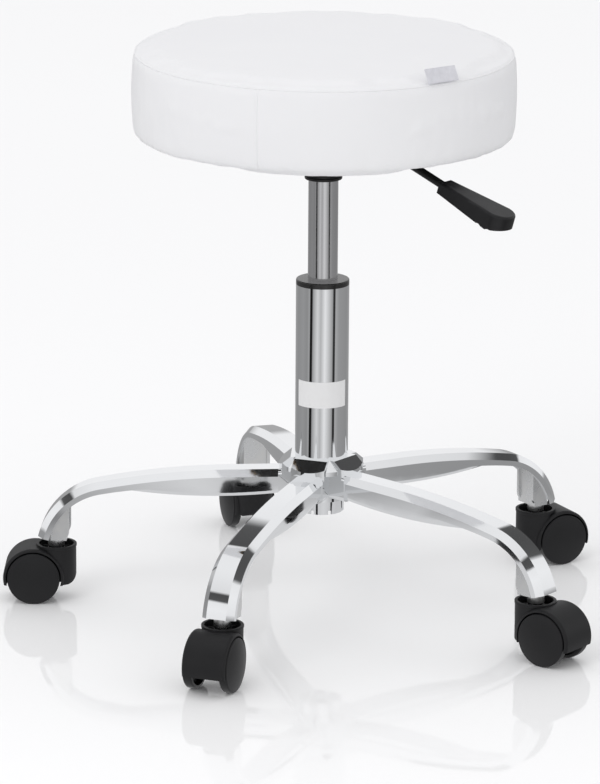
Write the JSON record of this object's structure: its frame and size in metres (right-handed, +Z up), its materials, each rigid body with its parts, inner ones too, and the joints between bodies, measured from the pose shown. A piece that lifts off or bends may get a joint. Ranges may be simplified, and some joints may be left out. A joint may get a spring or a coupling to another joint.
{
  "type": "pedicure stool",
  "caption": "Round padded stool on a gas lift with a hand lever, over a chromed five-leg base with swivelling twin-wheel casters.",
  "frame": {"origin": "on the column axis at floor level", "axes": "+Z up along the column; leg 1 points close to -X and the lift lever points between +X and -Y"},
  "size_m": [0.5645, 0.5853, 0.5473],
  "materials": {
    "chrome": "polished chrome plate",
    "satin_chrome": "ground and polished, hard chromed",
    "zinc": "bright zinc plate",
    "bright_steel": "bright drawn steel",
    "spring_steel": "oiled spring steel",
    "white_nylon": "natural nylon",
    "aluminium": "turned",
    "rubber": "matte black",
    "brass": "turned",
    "black_plastic": "smooth black",
    "label_film": "blank white film",
    "black_paint": "satin black powder coat",
    "grip_plastic": "fine-grained black",
    "plywood": "raw birch plywood",
    "foam": "cut polyurethane foam",
    "faux_leather": "smooth white faux leather",
    "dust_cloth": "black non-woven cloth",
    "woven_tab": "blank woven tape",
    "black_nylon": "matte black moulded nylon",
    "black_nylon_wheel": "matte black moulded nylon"
  },
  "bodies": {
    "base": {"base_hub": "chrome", "leg_1": "chrome", "leg_2": "chrome", "leg_3": "chrome", "leg_4": "chrome", "leg_5": "chrome", "caster_sockets": "zinc", "socket_brackets": "zinc", "caster_stems": "bright_steel", "stem_grip_rings": "spring_steel", "column_tube": "chrome", "tube_label": "label_film", "guide_bush": "black_plastic", "tube_base_plate": "zinc", "bearing_bottom_race": "bright_steel", "bearing_balls": "bright_steel", "ball_cage": "white_nylon"},
    "swivel": {"piston_rod": "bright_steel", "piston": "aluminium", "piston_seal": "rubber", "bearing_top_race": "bright_steel", "bump_stop": "rubber", "rod_clip": "spring_steel"},
    "lift": {"gas_cylinder": "satin_chrome", "rod_seal": "rubber", "rod_guide": "aluminium", "valve_body": "brass", "taper_socket": "black_paint", "seat_plate": "black_paint", "lever_pin": "bright_steel", "plate_bolts": "zinc", "tee_nuts": "zinc", "seat_board": "plywood", "foam_pad": "foam", "seat_cover": "faux_leather", "dust_cloth": "dust_cloth", "seat_label_tab": "woven_tab"},
    "lever": {"lever_rod": "black_paint", "lever_paddle": "grip_plastic"},
    "release": {"release_pin": "bright_steel"},
    "caster_1": {"caster_housing_1": "black_nylon", "caster_axle_1": "bright_steel"},
    "wheel_1a": {"caster_wheel_1a": "black_nylon_wheel"},
    "wheel_1b": {"caster_wheel_1b": "black_nylon_wheel"},
    "caster_2": {"caster_housing_2": "black_nylon", "caster_axle_2": "bright_steel"},
    "wheel_2a": {"caster_wheel_2a": "black_nylon_wheel"},
    "wheel_2b": {"caster_wheel_2b": "black_nylon_wheel"},
    "caster_3": {"caster_housing_3": "black_nylon", "caster_axle_3": "bright_steel"},
    "wheel_3a": {"caster_wheel_3a": "black_nylon_wheel"},
    "wheel_3b": {"caster_wheel_3b": "black_nylon_wheel"},
    "caster_4": {"caster_housing_4": "black_nylon", "caster_axle_4": "bright_steel"},
    "wheel_4a": {"caster_wheel_4a": "black_nylon_wheel"},
    "wheel_4b": {"caster_wheel_4b": "black_nylon_wheel"},
    "caster_5": {"caster_housing_5": "black_nylon", "caster_axle_5": "bright_steel"},
    "wheel_5a": {"caster_wheel_5a": "black_nylon_wheel"},
    "wheel_5b": {"caster_wheel_5b": "black_nylon_wheel"}
  },
  "joints": [
    {"name": "seat_swivel", "type": "hinge", "parent": "base", "child": "swivel", "pos_m": [0, 0, 0.1077], "axis": [0, 0, 1], "continuous": true},
    {"name": "height_lift", "type": "slide", "parent": "swivel", "child": "lift", "axis": [0, 0, 1], "range_m": [-0.085, 0.045]},
    {"name": "lever_pivot", "type": "hinge", "parent": "lift", "child": "lever", "pos_m": [0.02679, -0.02093, 0.4473], "axis": [-0.6157, -0.788, 0], "range_deg": [0, 4], "stiffness_Nm_per_rad": 6, "springref_deg": -6.88},
    {"name": "release_press", "type": "slide", "parent": "lift", "child": "release", "axis": [0, 0, -1], "range_m": [0, 0.0026]},
    {"name": "caster_swivel_1", "type": "hinge", "parent": "base", "child": "caster_1", "pos_m": [-0.25178, 0.01055, 0.0512], "axis": [0, 0, 1], "continuous": true},
    {"name": "wheel_spin_1a", "type": "hinge", "parent": "caster_1", "child": "wheel_1a", "pos_m": [-0.27278, 0.01055, 0.025], "axis": [0, -1, 0], "continuous": true},
    {"name": "wheel_spin_1b", "type": "hinge", "parent": "caster_1", "child": "wheel_1b", "pos_m": [-0.27278, 0.01055, 0.025], "axis": [0, -1, 0], "continuous": true},
    {"name": "caster_swivel_2", "type": "hinge", "parent": "base", "child": "caster_2", "pos_m": [-0.08784, -0.23619, 0.0512], "axis": [0, 0, 1], "continuous": true},
    {"name": "wheel_spin_2a", "type": "hinge", "parent": "caster_2", "child": "wheel_2a", "pos_m": [-0.09502, -0.25593, 0.025], "axis": [0.9397, -0.342, 0], "continuous": true},
    {"name": "wheel_spin_2b", "type": "hinge", "parent": "caster_2", "child": "wheel_2b", "pos_m": [-0.09502, -0.25593, 0.025], "axis": [0.9397, -0.342, 0], "continuous": true},
    {"name": "caster_swivel_3", "type": "hinge", "parent": "base", "child": "caster_3", "pos_m": [0.19749, -0.15653, 0.0512], "axis": [0, 0, 1], "continuous": true},
    {"name": "wheel_spin_3a", "type": "hinge", "parent": "caster_3", "child": "wheel_3a", "pos_m": [0.21404, -0.16946, 0.025], "axis": [0.6157, 0.788, 0], "continuous": true},
    {"name": "wheel_spin_3b", "type": "hinge", "parent": "caster_3", "child": "wheel_3b", "pos_m": [0.21404, -0.16946, 0.025], "axis": [0.6157, 0.788, 0], "continuous": true},
    {"name": "caster_swivel_4", "type": "hinge", "parent": "base", "child": "caster_4", "pos_m": [0.2099, 0.13945, 0.0512], "axis": [0, 0, 1], "continuous": true},
    {"name": "wheel_spin_4a", "type": "hinge", "parent": "caster_4", "child": "wheel_4a", "pos_m": [0.22844, 0.14931, 0.025], "axis": [-0.4695, 0.8829, 0], "continuous": true},
    {"name": "wheel_spin_4b", "type": "hinge", "parent": "caster_4", "child": "wheel_4b", "pos_m": [0.22844, 0.14931, 0.025], "axis": [-0.4695, 0.8829, 0], "continuous": true},
    {"name": "caster_swivel_5", "type": "hinge", "parent": "base", "child": "caster_5", "pos_m": [-0.06777, 0.24272, 0.0512], "axis": [0, 0, 1], "continuous": true},
    {"name": "wheel_spin_5a", "type": "hinge", "parent": "caster_5", "child": "wheel_5a", "pos_m": [-0.07461, 0.26257, 0.025], "axis": [-0.9455, -0.3256, 0], "continuous": true},
    {"name": "wheel_spin_5b", "type": "hinge", "parent": "caster_5", "child": "wheel_5b", "pos_m": [-0.07461, 0.26257, 0.025], "axis": [-0.9455, -0.3256, 0], "continuous": true}
  ],
  "couplings": [
    {"joint": "release_press", "follows": "lever_pivot", "m_per_rad": 0.034}
  ]
}
